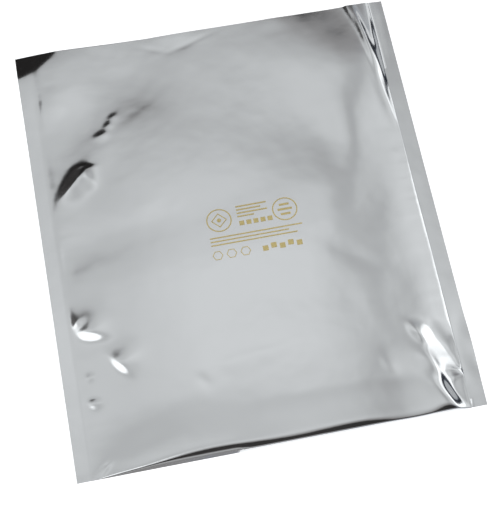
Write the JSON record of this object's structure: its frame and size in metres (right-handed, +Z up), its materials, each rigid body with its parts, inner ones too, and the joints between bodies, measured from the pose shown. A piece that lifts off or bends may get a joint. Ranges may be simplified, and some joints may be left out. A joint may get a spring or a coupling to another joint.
{
  "type": "moisture barrier bag",
  "caption": "Flat empty pouch of metallised film, folded across one end, heat-sealed down both sides and open at the other, with a little air in it.",
  "frame": {"origin": "on the table, under the middle of the bag's outline", "axes": "+Y runs along the bag from its folded end to its open mouth, +Z up through its thickness, +X across it"},
  "size_m": [0.257, 0.2986, 0.0075],
  "materials": {
    "metallised_film": "bright metallised plastic film, mirror-like with fine crinkles",
    "print_ink": "thin translucent yellow ink"
  },
  "bodies": {
    "root": {"barrier_bag": "metallised_film"}
  },
  "joints": []
}
